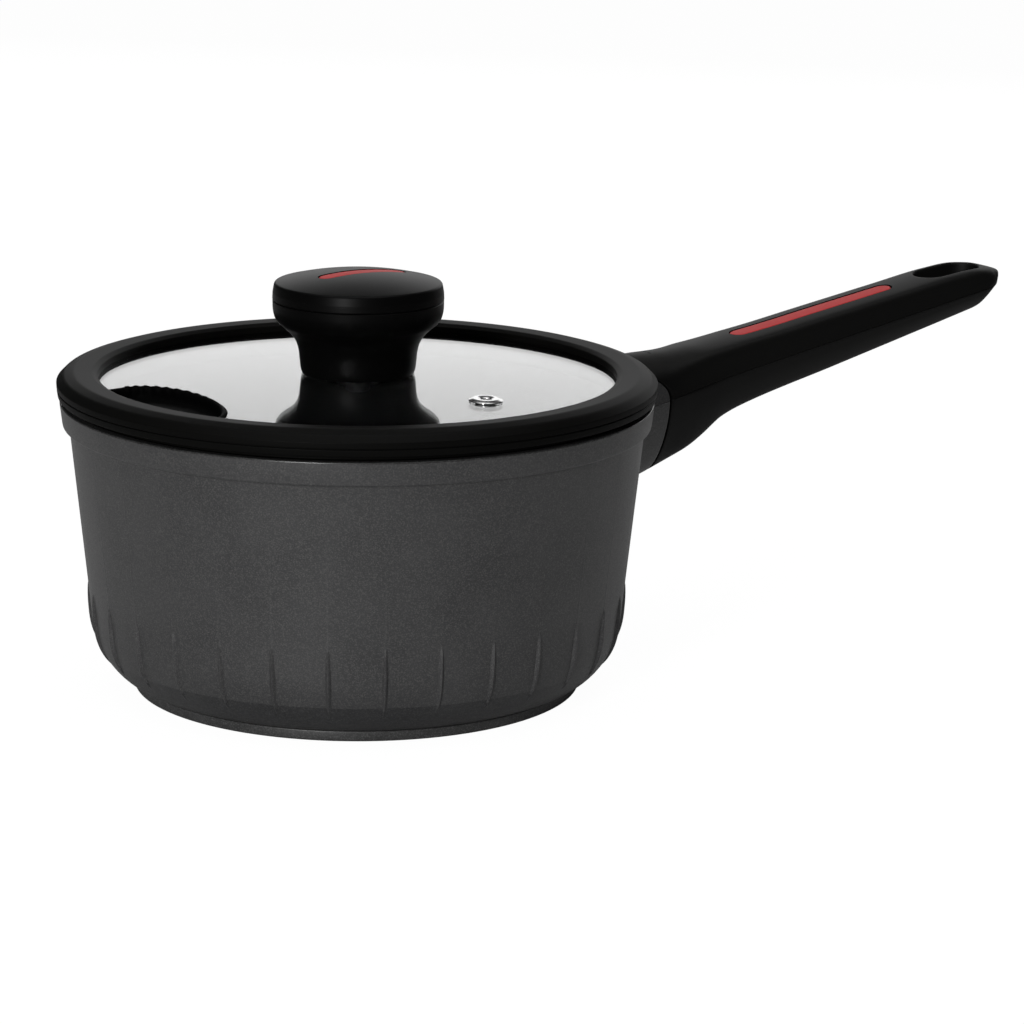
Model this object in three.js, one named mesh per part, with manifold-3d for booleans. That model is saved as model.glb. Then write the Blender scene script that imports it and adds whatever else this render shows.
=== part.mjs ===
// Saucepan with a glass lid. Millimetres, +Z up. The origin is on the pan's axis, at the
// surface it stands on, and the handle points along +X.

import * as THREE from 'three';
import { LoftGeometry } from 'three/addons/geometries/LoftGeometry.js';
import { mergeVertices } from 'three/addons/utils/BufferGeometryUtils.js';
import Module from 'manifold-3d';

const wasm = await Module();
wasm.setup();

// ---------------------------------------------------------------- sizes

const gap = 0.3;                 // between pieces that touch
const roundSteps = 60;           // facets round the pan and the lid
const smallSteps = 28;           // facets round the knob
const screwSteps = 14;           // facets round fasteners and small holes
const lift = 60;                 // how far cutting tools reach past what they cut

const pan = {
  height: 106,
  rimRadius: 108,
  bandHeight: 8.7,
  bandTaper: 0.9,
  bandOverhang: 3.4,             // rim beyond the top of the wall
  wallDraft: 0.105,              // radius lost for each mm down the wall
  cornerHeight: 26,              // where the wall turns in to the base
  wall: 3.4,
  footInset: 26,                 // foot inside the rim
  footHeight: 4.6,
  footWidth: 7,
  floor: 4,                      // metal above the base disc
  innerCorner: 26,
};

const ribs = { count: 31, phase: 1.9, width: 2.2, proud: 0.75, top: 37.2, bottom: 12.6 };

const disc = { thickness: 2.5 };

// The lug is the stub of the pan that carries the handle.
const lug = { reach: 18, halfWidth: 17.7, socketDepth: 15, boltFromEnd: 8 };

const gasket = { thickness: 0.5, inset: 0.6, gap: 0.25 };

const handle = {
  length: 166.5,                 // from the lug's end
  halfWidth: 13.8,
  partBelowRim: 10.9,            // parting line at the lug's end
  partRise: 31.3,                // of the parting line over the handle's length
  lugBoxiness: { top: 1.8, under: 1.65 },      // exponents of the rounded outlines above and
  gripBoxiness: { top: 3.6, under: 2.6 },      // below it, at the lug and along the grip
  boxyFrom: { top: 0.12, under: 0.2 },         // share of the length where the grip's begin
  sectionPoints: 24,
  step: 12,
};

const hole = { fromTip: 22.7, length: 28.6, width: 15 };

const inlay = { fromLug: 40, fromHole: 14.1, width: 8.4, depth: 2.2, sunk: 0.5 };

const tang = { width: 13, thickness: 5, share: 0.53 };

const bolt = { shank: 2.5, head: 4.4, headHeight: 3.2, sink: 2, hexagon: 2 };

// Places are shares of the handle's length.
const shellScrew = { places: [0.156, 0.48, 0.715], shank: 1.6, head: 3, headHeight: 2, rise: 4, hexagon: 1.2 };

const glass = { aboveRim: 9.2, sag: 2.73, thickness: 4, inset: 4 };

const ring = {
  overhang: 1,                   // beyond the pan's rim
  width: 14.6,
  crestInset: 5.6,
  crestAboveRim: 10.4,
  lipAboveRim: 6.9,
  sideAboveRim: 2.1,
  seatInset: 2.6,
  skirtDepth: 6,
  skirtWidth: 3,
  skirtClearance: 0.9,
};

// Half an ellipse about a point on the lid, carried straight out to the lid's edge.
const strainer = {
  along: -84,
  across: -10,
  depth: 17.4,
  halfLength: 33,
  lip: 4,
  sunk: 2.2,
  slots: 7,
  slotWidth: 2.4,
  slotLength: 11,
  pitch: 6.4,
};

const vent = { fromRing: 30.7, azimuth: -75, flange: 6.15, tube: 3.6, bore: 1.9, flangeHeight: 1.5, below: 1.6 };

// Heights are above the middle of the glass.
const knob = {
  footRadius: 20.4,
  headRadius: 31,
  seam: 26.8,
  crown: 33,
  top: 37.2,
  gasketThickness: 0.9,
  boreRadius: 5.4,
  boreTop: 18.8,
  spigotInset: 7,
  spigotWidth: 2.4,
  spigotDepth: 3,
};

const knobInlay = { length: 35, width: 6.6, depth: 1.6, sunk: 0.35 };

const clamp = { holeRadius: 4.5, gasketRadius: 9, washerRadius: 8, plate: 1, headRadius: 4.5, headHeight: 2.8, shank: 2.3 };

// ---------------------------------------------------------------- materials

const finish = (color, roughness, metalness = 0, extra = {}) => {
  return new THREE.MeshStandardMaterial({ color, roughness, metalness, ...extra });
};

const coating = () => finish('#45464a', 0.55, 0.25);
const grip = () => finish('#1b1b1c', 0.6);
const silicone = () => finish('#242424', 0.7);
const red = () => finish('#b8282b', 0.35);
const steel = () => finish('#b9bbbd', 0.3, 1);
const clearGlass = () => finish('#dfe3e3', 0.05, 0, { transparent: true, opacity: 0.35 });

// ---------------------------------------------------------------- helpers

const point = (x, y) => new THREE.Vector2(x, y);
const degrees = THREE.MathUtils.degToRad;
const mix = THREE.MathUtils.lerp;

// A closed geometry as a manifold-3d solid.
function toSolid(geometry) {
  const bare = new THREE.BufferGeometry();
  bare.setAttribute('position', geometry.attributes.position);
  bare.setIndex(geometry.index);
  const merged = mergeVertices(bare, 1e-4);
  const vertProperties = new Float32Array(merged.attributes.position.array);
  const triVerts = new Uint32Array(merged.index.array);
  return new wasm.Manifold(new wasm.Mesh({ numProp: 3, vertProperties, triVerts }));
}

// A manifold-3d solid as a geometry.
function toGeometry(solid) {
  const found = solid.getMesh();
  const geometry = new THREE.BufferGeometry();
  geometry.setAttribute('position', new THREE.BufferAttribute(found.vertProperties, 3));
  geometry.setIndex(new THREE.BufferAttribute(found.triVerts, 1));
  geometry.computeVertexNormals();
  return geometry;
}

// A profile of (radius, height) points turned about the Z axis.
function turned(points, steps = roundSteps) {
  return new THREE.LatheGeometry(points, steps).rotateX(Math.PI / 2);
}

// An outline in the XY plane, extruded up from one height to another.
function prism(shape, low, high, curveSegments = 10) {
  const geometry = new THREE.ExtrudeGeometry(shape, { depth: high - low, bevelEnabled: false, curveSegments });
  return geometry.translate(0, 0, low);
}

// A straight slot with round ends, centred on (x, y) and lying along X.
function slotShape(x, y, length, width) {
  const reach = (length - width) / 2;
  const shape = new THREE.Shape();
  shape.absarc(x + reach, y, width / 2, -Math.PI / 2, Math.PI / 2);
  shape.absarc(x - reach, y, width / 2, Math.PI / 2, 3 * Math.PI / 2);
  return shape;
}

function cylinder(radius, low, high, steps = screwSteps) {
  const geometry = new THREE.CylinderGeometry(radius, radius, high - low, steps).rotateX(Math.PI / 2);
  return geometry.translate(0, 0, (low + high) / 2);
}

function arcPoints(x, y, radius, from, to, steps) {
  const curve = new THREE.EllipseCurve(x, y, radius, radius, degrees(from), degrees(to), to < from);
  return curve.getPoints(steps);
}

function named(name, geometry, material) {
  const mesh = new THREE.Mesh(geometry, material);
  mesh.name = name;
  return mesh;
}

// A smooth curve through (x, value) points, read as a function of x.
function curveThrough(pairs) {
  const steps = 60;
  const curve = new THREE.CatmullRomCurve3(pairs.map(([x, value]) => new THREE.Vector3(x, value, 0)), false, 'centripetal');
  const samples = curve.getPoints(steps * pairs.length);
  return (x) => {
    if (x <= samples[0].x) {
      return samples[0].y;
    }
    for (let i = 1; i < samples.length; i += 1) {
      if (samples[i].x >= x) {
        const t = (x - samples[i - 1].x) / (samples[i].x - samples[i - 1].x);
        return mix(samples[i - 1].y, samples[i].y, t);
      }
    }
    return samples[samples.length - 1].y;
  };
}

// ---------------------------------------------------------------- pan

const bandBottom = pan.height - pan.bandHeight;
const wallTop = pan.rimRadius - pan.bandOverhang;
const wallRadius = (z) => wallTop - (bandBottom - z) * pan.wallDraft;
const footRadius = pan.rimRadius - pan.footInset;
const discRadius = footRadius - pan.footWidth;
const floorTop = disc.thickness + pan.floor;

// Outer profile of the lower corner: an arc from the wall in to the foot.
function cornerCurve() {
  const start = point(wallRadius(pan.cornerHeight), pan.cornerHeight);
  const end = point(footRadius - 1, pan.footHeight - 0.6);
  const fall = pan.cornerHeight * 0.56;
  const down = point(start.x - fall * pan.wallDraft, start.y - fall);
  const across = point(end.x + 5.5, end.y + 0.4);
  return new THREE.CubicBezierCurve(start, down, across, end);
}

function panOuter() {
  const rim = pan.rimRadius;
  const bandEdge = rim - pan.bandTaper;
  const foot = footRadius;
  const profile = [
    point(0, disc.thickness + gap),
    point(discRadius + gap, disc.thickness + gap),
    point(discRadius + gap, 0),
    point(foot - 0.8, 0),
    point(foot, 0.8),
    point(foot, pan.footHeight - 0.9),
    point(foot - 0.8, pan.footHeight - 0.7),
    ...cornerCurve().getPoints(6).reverse(),
    point(wallRadius(bandBottom), bandBottom),
    point(bandEdge - 0.8, bandBottom + 0.1),
    point(bandEdge, bandBottom + 1.2),
    point(rim, pan.height - 1),
    point(rim - 0.7, pan.height),
    point(0, pan.height),
  ];
  return toSolid(turned(profile));
}

const innerRadius = (z) => wallRadius(z) - pan.wall;

function panInner() {
  const bottom = floorTop + pan.innerCorner;
  const profile = [
    point(0, floorTop),
    ...arcPoints(innerRadius(bottom) - pan.innerCorner, bottom, pan.innerCorner, -90, 0, 4),
    point(innerRadius(pan.height), pan.height),
    point(innerRadius(pan.height), pan.height + lift),
    point(0, pan.height + lift),
  ];
  return toSolid(turned(profile));
}

// One slim rib, pointed at the top, that follows the corner and fades out at the bottom.
function ribBlank() {
  const middle = (ribs.top + ribs.bottom) / 2;
  const half = (ribs.top - ribs.bottom) / 2;
  const corner = cornerCurve().getPoints(30);
  const skin = (z) => {
    if (z >= pan.cornerHeight) {
      return wallRadius(z);
    }
    const above = corner.find((p) => p.y <= z) ?? corner[corner.length - 1];
    return above.x;
  };
  const sections = [];
  const rows = 4;
  for (let i = 0; i <= rows; i += 1) {
    const u = -1 + 2 * i / rows;
    const z = middle + half * u;
    const swell = Math.sqrt(Math.max(0, 1 - u * u)) + 0.03;
    const halfWidth = ribs.width / 2 * swell;
    const face = skin(z) + ribs.proud * (swell - 0.25);
    const root = skin(z) - 1.5;
    sections.push([
      new THREE.Vector3(root, -halfWidth, z),
      new THREE.Vector3(root, halfWidth, z),
      new THREE.Vector3(face - 0.4, halfWidth * 0.8, z),
      new THREE.Vector3(face, 0, z),
      new THREE.Vector3(face - 0.4, -halfWidth * 0.8, z),
    ].reverse());
  }
  return toSolid(new LoftGeometry(sections, { capStart: true, capEnd: true }));
}

// ---------------------------------------------------------------- handle shape

const lugEnd = pan.rimRadius + lug.reach;
const tip = lugEnd + handle.length;
const tipStart = tip - 1.15 * handle.halfWidth;
const along = (x) => (x - lugEnd) / handle.length;
const partStart = pan.height - handle.partBelowRim;
const partHeight = (x) => partStart + handle.partRise * along(x);

// Heights above the rim and half widths, read by the distance from the lug's end as a
// share of the handle's length.
const topCurve = curveThrough([
  [-0.168, -1.4], [-0.12, -0.5], [-0.1, 0.4], [-0.084, 3.2], [-0.06, 4.9], [-0.02, 5.5], [0, 5.6],
  [0.078, 5.5], [0.144, 5.6], [0.203, 6.9], [0.24, 7.8], [0.325, 10], [0.444, 13.4], [0.685, 20.2], [0.84, 24.7],
  [0.918, 26], [0.955, 25.4], [0.983, 23.6], [1, 20.4],
]);

const underCurve = curveThrough([
  [-0.168, -50.1], [-0.084, -45.9], [0, -41.2], [0.084, -34.6], [0.132, -29.2],
  [0.186, -22.8], [0.253, -18.7], [0.504, -7.6], [0.817, 5.9], [0.89, 8.6],
  [0.925, 11], [0.955, 14.4], [0.98, 17.6], [1, 19.6],
]);

// Half widths less the grip's own.
const flareCurve = curveThrough([
  [-0.168, lug.halfWidth - handle.halfWidth + 3.4], [-0.084, lug.halfWidth - handle.halfWidth + 1.4],
  [0, lug.halfWidth - handle.halfWidth], [0.04, 2.8], [0.084, 1.6], [0.15, 0.6], [0.25, 0], [1, 0],
]);

const topHeight = (x) => pan.height + topCurve(along(x));
const bottomHeight = (x) => pan.height + underCurve(along(x));

function halfWidth(x) {
  if (x <= tipStart) {
    return handle.halfWidth + flareCurve(along(x));
  }
  const t = (x - tipStart) / (tip - tipStart);
  return handle.halfWidth * Math.sqrt(Math.max(0.02, 1 - t ** 2.3));
}

function boxiness(x, side) {
  const t = THREE.MathUtils.clamp(along(x) / handle.boxyFrom[side], 0, 1);
  return mix(handle.lugBoxiness[side], handle.gripBoxiness[side], t);
}

// Rounded outline across the handle at x, shrunk by inset.
function handleSection(x, inset = 0) {
  const powers = { top: 2 / boxiness(x, 'top'), under: 2 / boxiness(x, 'under') };
  const wide = halfWidth(x) - inset;
  const part = Math.min(Math.max(partHeight(x), bottomHeight(x) + 0.3), topHeight(x) - 0.3);
  const up = topHeight(x) - part - inset;
  const down = part - bottomHeight(x) - inset;
  const points = [];
  for (let i = 0; i < handle.sectionPoints; i += 1) {
    const angle = 2 * Math.PI * (i + 0.5) / handle.sectionPoints;
    const c = Math.cos(angle);
    const s = Math.sin(angle);
    const power = s > 0 ? powers.top : powers.under;
    const y = wide * Math.sign(c) * Math.abs(c) ** power;
    const z = part + (s > 0 ? up : down) * Math.sign(s) * Math.abs(s) ** power;
    points.push(new THREE.Vector3(x, y, z));
  }
  return points;
}

function handleLoft(from, to, step, inset = 0) {
  const count = Math.max(1, Math.round((to - from) / step));
  const sections = [];
  for (let i = 0; i <= count; i += 1) {
    const t = i / count;
    sections.push(handleSection(mix(from, to, t), inset));
  }
  return sections;
}

function lofted(sections) {
  return toSolid(new LoftGeometry(sections, { capStart: true, capEnd: true }));
}

// A box that lies along the parting line, from one x to another.
function alongParting(from, to, halfAcross, below, above) {
  const shape = new THREE.Shape([
    point(from, partHeight(from) - below),
    point(to, partHeight(to) - below),
    point(to, partHeight(to) + above),
    point(from, partHeight(from) + above),
  ]);
  const geometry = new THREE.ExtrudeGeometry(shape, { depth: 2 * halfAcross, bevelEnabled: false });
  return toSolid(geometry.rotateX(Math.PI / 2).translate(0, halfAcross, 0));
}

const shellStart = lugEnd + 2 * gasket.gap + gasket.thickness;
const tangStart = lugEnd - lug.socketDepth;
const tangEnd = shellStart + tang.share * handle.length;
const holeCentre = tip - hole.fromTip;
const inlayStart = lugEnd + inlay.fromLug;
const inlayEnd = holeCentre - hole.length / 2 - inlay.fromHole;

function tangRoom(from, to) {
  return alongParting(from, to, tang.width / 2 + gap, tang.thickness / 2 + gap, tang.thickness / 2 + gap);
}

function handleBlank() {
  const long = handleLoft(shellStart, tipStart, handle.step);
  const end = handleLoft(tipStart, tip, handle.step / 4).slice(1);
  return lofted([...long, ...end]);
}

function hangHole() {
  const shape = slotShape(holeCentre, 0, hole.length, hole.width);
  return toSolid(prism(shape, partHeight(holeCentre) - lift, partHeight(holeCentre) + lift));
}

// The red strip's outline from above, drawn up past the handle's top.
function stripPrism(grow) {
  const length = inlayEnd - inlayStart + 2 * grow;
  const shape = slotShape((inlayStart + inlayEnd) / 2, 0, length, inlay.width + 2 * grow);
  return toSolid(prism(shape, 0, topHeight(inlayEnd) + lift));
}

function screwRoom(x) {
  const low = bottomHeight(x) + shellScrew.rise;
  const shank = toSolid(cylinder(shellScrew.shank + gap, low, partHeight(x) + shellScrew.rise + gap));
  const head = toSolid(cylinder(shellScrew.head + gap, bottomHeight(x) - lift, low + gap));
  return shank.add(head).translate([x, 0, 0]);
}

function screwSolid(x) {
  const low = bottomHeight(x) + shellScrew.rise;
  const shank = toSolid(cylinder(shellScrew.shank, low - 0.5, partHeight(x) + shellScrew.rise));
  const head = toSolid(cylinder(shellScrew.head, low - shellScrew.headHeight, low));
  const drive = toSolid(cylinder(shellScrew.hexagon, low - shellScrew.headHeight - 1, low - shellScrew.headHeight + 1.2, 6));
  return shank.add(head).subtract(drive).translate([x, 0, 0]);
}

// The space under the handle's top skin that the red strip fills, between two depths.
function underTop(depth, from, to) {
  const sections = [];
  const steps = 10;
  for (let i = 0; i <= steps; i += 1) {
    const x = mix(from, to, i / steps);
    const z = topHeight(x) - depth;
    sections.push([
      new THREE.Vector3(x, -lift, z - lift),
      new THREE.Vector3(x, lift, z - lift),
      new THREE.Vector3(x, lift, z),
      new THREE.Vector3(x, -lift, z),
    ]);
  }
  return lofted(sections);
}

function makeHandle() {
  const blank = handleBlank();
  const from = shellStart - 5;
  const to = tip + 5;
  const above = alongParting(from, to, lift, 0, lift * 2);
  const below = alongParting(from, to, lift, lift * 2, -gap);
  const room = tangRoom(from, tangEnd + gap);
  const opening = hangHole();

  const start = inlayStart - 5;
  const end = inlayEnd + 5;
  const slot = stripPrism(gap).subtract(underTop(inlay.depth, start, end));
  const strip = stripPrism(0)
    .subtract(underTop(inlay.depth - gap, start, end))
    .intersect(underTop(inlay.sunk, start, end));

  let upper = blank.intersect(above).subtract(room).subtract(opening).subtract(slot);
  let lower = blank.intersect(below).subtract(room).subtract(opening);
  let bar = alongParting(tangStart, tangEnd, tang.width / 2, tang.thickness / 2, tang.thickness / 2);
  const screws = [];
  shellScrew.places.forEach((share, index) => {
    const x = lugEnd + share * handle.length;
    const cut = screwRoom(x);
    upper = upper.subtract(cut);
    lower = lower.subtract(cut);
    bar = bar.subtract(cut);
    screws.push(named(`shell_screw_${index + 1}`, toGeometry(screwSolid(x)), steel()));
  });
  bar = bar.subtract(boltRoom());

  const group = new THREE.Group();
  group.add(named('handle_upper_shell', toGeometry(upper), grip()));
  group.add(named('handle_lower_shell', toGeometry(lower), grip()));
  group.add(named('handle_inlay', toGeometry(strip), red()));
  group.add(named('handle_tang', toGeometry(bar), steel()));
  group.add(named('handle_gasket', toGeometry(gasketSolid()), silicone()));
  group.add(named('tang_bolt', toGeometry(boltSolid()), steel()));
  screws.forEach((screw) => group.add(screw));
  return group;
}

function gasketSolid() {
  const start = lugEnd + gasket.gap;
  const plate = lofted(handleLoft(start, start + gasket.thickness, gasket.thickness, gasket.inset));
  return plate.subtract(tangRoom(start - 1, start + gasket.thickness + 1));
}

// ---------------------------------------------------------------- lug and its bolt

const boltX = lugEnd - lug.boltFromEnd;
const boltLow = bottomHeight(boltX) + bolt.sink;
const boltHigh = partHeight(boltX) + tang.thickness / 2;

function boltRoom() {
  const shank = toSolid(cylinder(bolt.shank + gap, boltLow, boltHigh + 2 * gap));
  const head = toSolid(cylinder(bolt.head + gap, boltLow - lift, boltLow + bolt.headHeight + gap));
  return shank.add(head).translate([boltX, 0, 0]);
}

function boltSolid() {
  const shank = toSolid(cylinder(bolt.shank, boltLow + 1, boltHigh));
  const head = toSolid(cylinder(bolt.head, boltLow, boltLow + bolt.headHeight));
  const drive = toSolid(cylinder(bolt.hexagon, boltLow - 1, boltLow + 2, 6));
  return shank.add(head).subtract(drive).translate([boltX, 0, 0]);
}

function makePan() {
  let body = panOuter();
  const root = innerRadius(bottomHeight(lugEnd)) - 4;
  body = body.add(lofted(handleLoft(root, lugEnd, handle.step / 3)));
  const rib = ribBlank();
  for (let i = 0; i < ribs.count; i += 1) {
    body = body.add(rib.rotate([0, 0, ribs.phase + 360 * i / ribs.count]));
  }
  body = body.subtract(panInner());
  body = body.subtract(tangRoom(tangStart - gap, lugEnd + 5));
  body = body.subtract(boltRoom());
  return named('pan_body', toGeometry(body), coating());
}

function makeDisc() {
  const profile = [
    point(0, 0),
    point(discRadius - 0.5, 0),
    point(discRadius, 0.5),
    point(discRadius, disc.thickness),
    point(0, disc.thickness),
  ];
  return named('base_disc', turned(profile), steel());
}

// ---------------------------------------------------------------- lid

const glassRadius = pan.rimRadius - glass.inset;
const glassHigh = pan.height + glass.aboveRim;
const glassDome = glass.sag / glassRadius ** 2;
const glassTop = (r) => glassHigh - glassDome * r * r;
const glassBottom = (r) => glassTop(r) - glass.thickness;
const ringOuter = pan.rimRadius + ring.overhang;
const ringInner = ringOuter - ring.width;

// Outline of the rounded cut-out opposite the handle, shrunk by inset.
function cutOut(inset) {
  const { along: centre, across, depth, halfLength } = strainer;
  const out = -ringOuter - lift;
  const shape = new THREE.Shape();
  shape.moveTo(out, across - halfLength + inset);
  shape.absellipse(centre, across, depth - inset, halfLength - inset, -Math.PI / 2, Math.PI / 2);
  shape.lineTo(out, across + halfLength - inset);
  return shape;
}

function glassProfile(top, bottom, radius) {
  const steps = 4;
  const upper = [];
  const lower = [];
  for (let i = 0; i <= steps; i += 1) {
    const r = radius * i / steps;
    upper.push(point(r, top(r)));
    lower.push(point(r, bottom(r)));
  }
  return [...lower, ...upper.reverse()];
}

function glassBlank(radius = glassRadius) {
  return toSolid(turned(glassProfile(glassTop, glassBottom, radius)));
}

function ventHole(radius) {
  const reach = toSolid(cylinder(radius, -lift, lift));
  const spot = ventPlace();
  return reach.rotate([0, spot.tilt, vent.azimuth]).translate([spot.x, spot.y, spot.z]);
}

// Where the vent stands on the dome, and how far the dome tilts it.
function ventPlace() {
  const angle = degrees(vent.azimuth);
  const radius = ringInner - vent.fromRing;
  return {
    x: radius * Math.cos(angle),
    y: radius * Math.sin(angle),
    z: glassTop(radius),
    tilt: THREE.MathUtils.radToDeg(Math.atan(2 * glassDome * radius)),
  };
}

function makeGlass() {
  const knobHole = toSolid(cylinder(clamp.holeRadius, 0, 2 * glassHigh));
  const half = toSolid(prism(cutOut(0), 0, 2 * glassHigh, 28));
  const solid = glassBlank().subtract(knobHole).subtract(half).subtract(ventHole(vent.tube + gap + 0.3));
  return named('lid_glass', toGeometry(solid), clearGlass());
}

function makeRing() {
  const edge = glassRadius + gap;
  const above = glassTop(ringInner) + gap;
  const seat = pan.height + gap;
  const seatRadius = pan.rimRadius - ring.seatInset;
  const skirtBottom = pan.height - ring.skirtDepth;
  const skirtOuter = innerRadius(pan.height) - ring.skirtClearance;
  const skirtInner = skirtOuter - ring.skirtWidth;
  const side = ringOuter;
  const sideBottom = pan.height + ring.sideAboveRim;
  const lip = pan.height + ring.lipAboveRim;
  const crest = pan.height + ring.crestAboveRim;
  const crestRadius = side - ring.crestInset;
  const profile = [
    point(ringInner, above),
    point(edge, glassTop(edge) + gap),
    point(edge, glassBottom(edge) - gap),
    point(skirtInner, glassBottom(skirtInner) - gap),
    point(skirtInner, skirtBottom + 0.6),
    point(skirtInner + 0.6, skirtBottom),
    point(skirtOuter - 1.4, skirtBottom),
    point(skirtOuter, seat),
    point(seatRadius, seat),
    point(seatRadius, sideBottom - 0.3),
    point(side - 0.9, sideBottom - 0.2),
    point(side - 0.2, sideBottom + 0.4),
    point(side - 0.2, sideBottom + 2),
    point(side - 0.7, sideBottom + 2.3),
    point(side - 0.1, sideBottom + 2.8),
    point(side, lip - 0.5),
    point(side - 0.5, lip + 0.1),
    point(mix(crestRadius, side, 0.45), mix(crest, lip, 0.3)),
    point(crestRadius, crest),
    point(ringInner + 0.9, crest - 0.6),
    point(ringInner, above + 1.2),
    point(ringInner, above),
  ];
  return named('lid_ring', turned(profile), silicone());
}

// The strainer fills the cut-out: a lip level with the glass, and a sunk floor with slots.
function makeStrainer() {
  const plate = toSolid(prism(cutOut(gap), 0, 2 * glassHigh, 28)).intersect(glassBlank());
  const basin = toSolid(prism(cutOut(strainer.lip), 0, 2 * glassHigh, 28));
  const deep = basin.intersect(toSolid(turned(glassProfile(
    (r) => glassTop(r) + lift,
    (r) => glassTop(r) - strainer.sunk,
    ringInner - 1,
  ))));
  let solid = plate.subtract(deep);
  for (let i = 0; i < strainer.slots; i += 1) {
    const y = (i - (strainer.slots - 1) / 2) * strainer.pitch;
    const share = y / (strainer.halfLength - strainer.lip);
    const edge = strainer.along + (strainer.depth - strainer.lip) * Math.sqrt(1 - share ** 2);
    const middle = edge - strainer.slotLength / 2 - 1.5;
    const slot = slotShape(middle, strainer.across + y, strainer.slotLength, strainer.slotWidth);
    solid = solid.subtract(toSolid(prism(slot, 0, 2 * glassHigh, 5)));
  }
  return named('lid_strainer', toGeometry(solid), silicone());
}

function makeVent() {
  const spot = ventPlace();
  const low = -glass.thickness - vent.below;
  const high = vent.flangeHeight;
  const eyelet = [
    point(vent.bore, low),
    point(vent.tube, low),
    point(vent.tube, gap),
    point(vent.flange, gap),
    point(vent.flange, gap + 0.4),
    point(vent.flange - 1.2, high),
    point(vent.tube - 0.6, high),
    point(vent.bore, high - 0.6),
    point(vent.bore, low),
  ];
  const collar = [
    point(vent.tube + gap, low),
    point(vent.tube + 1.8, low),
    point(vent.tube + 1.8, -glass.thickness - gap),
    point(vent.tube + gap, -glass.thickness - gap),
    point(vent.tube + gap, low),
  ];
  const group = new THREE.Group();
  group.add(named('vent_eyelet', turned(eyelet, 24), steel()));
  group.add(named('vent_collar', turned(collar, 24), steel()));
  group.position.set(spot.x, spot.y, spot.z);
  group.rotation.set(0, degrees(spot.tilt), degrees(vent.azimuth), 'ZYX');
  return group;
}

// ---------------------------------------------------------------- knob

const gasketLow = glassHigh + gap;
const footLow = gasketLow + knob.gasketThickness + gap;
const seamHeight = glassHigh + knob.seam;
const crownHeight = glassHigh + knob.crown;
const knobTop = glassHigh + knob.top;
const boreTop = glassHigh + knob.boreTop;
const spigotRadius = knob.headRadius - knob.spigotInset;

function makeKnobBody() {
  const foot = knob.footRadius;
  const head = knob.headRadius;
  const seam = seamHeight;
  const neck = new THREE.CubicBezierCurve(
    point(foot + 0.5, footLow + 4),
    point(foot + 1.3, mix(footLow, seam, 0.5)),
    point(foot + 2.6, seam - 13),
    point(head - 3.2, seam - 9.2),
  );
  const shoulder = new THREE.QuadraticBezierCurve(
    point(head - 3.2, seam - 9.2),
    point(head - 0.1, seam - 7),
    point(head, seam - 2.4),
  );
  const grooveIn = spigotRadius - knob.spigotWidth - gap;
  const grooveOut = spigotRadius + gap;
  const grooveLow = seam - knob.spigotDepth - gap;
  const profile = [
    point(knob.boreRadius, footLow),
    point(foot - 0.8, footLow),
    point(foot, footLow + 0.8),
    ...neck.getPoints(6),
    ...shoulder.getPoints(3).slice(1),
    point(head, seam),
    point(grooveOut, seam),
    point(grooveOut, grooveLow),
    point(grooveIn, grooveLow),
    point(grooveIn, seam),
    point(0, seam),
    point(0, boreTop),
    point(knob.boreRadius, boreTop),
    point(knob.boreRadius, footLow),
  ];
  return named('knob_body', turned(profile, smallSteps), grip());
}

// Height of the cap's dome at radius r.
function capTop(r) {
  const rise = knobTop - crownHeight;
  return knobTop - rise * (r / knob.headRadius) ** 2;
}

function domeProfile(sunk) {
  const steps = 5;
  const points = [];
  for (let i = 0; i <= steps; i += 1) {
    const r = knob.headRadius * 1.1 * i / steps;
    points.push(point(r, capTop(r) - sunk));
  }
  return points;
}

function underDome(sunk) {
  const dome = domeProfile(sunk);
  const rim = dome[dome.length - 1].x;
  const low = crownHeight - lift;
  return toSolid(turned([point(0, low), point(rim, low), ...dome.reverse()], smallSteps));
}

function makeCap() {
  const head = knob.headRadius;
  const seam = seamHeight + gap;
  const out = spigotRadius;
  const into = out - knob.spigotWidth;
  const profile = [
    point(0, seam),
    point(into, seam),
    point(into, seamHeight - knob.spigotDepth),
    point(out, seamHeight - knob.spigotDepth),
    point(out, seam),
    point(head, seam),
    point(head, crownHeight - 1.6),
    point(head - 0.6, crownHeight - 0.4),
  ];
  for (const r of [0.9, 0.7, 0.5, 0.25, 0]) {
    profile.push(point(head * r, capTop(head * r)));
  }
  const shape = (grow) => slotShape(0, 0, knobInlay.length + 2 * grow, knobInlay.width + 2 * grow);
  const slot = toSolid(prism(shape(gap), 0, 2 * knobTop)).subtract(underDome(knobInlay.depth));
  const strip = toSolid(prism(shape(0), 0, 2 * knobTop))
    .subtract(underDome(knobInlay.depth - gap))
    .intersect(underDome(knobInlay.sunk));
  const cap = toSolid(turned(profile, smallSteps)).subtract(slot);
  const group = new THREE.Group();
  group.add(named('knob_cap', toGeometry(cap), grip()));
  group.add(named('knob_inlay', toGeometry(strip), red()));
  return group;
}

// A flat washer between two heights.
function washer(name, inner, outer, low, high, material) {
  const profile = [point(inner, low), point(outer, low), point(outer, high), point(inner, high), point(inner, low)];
  return named(name, turned(profile, smallSteps), material);
}

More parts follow.
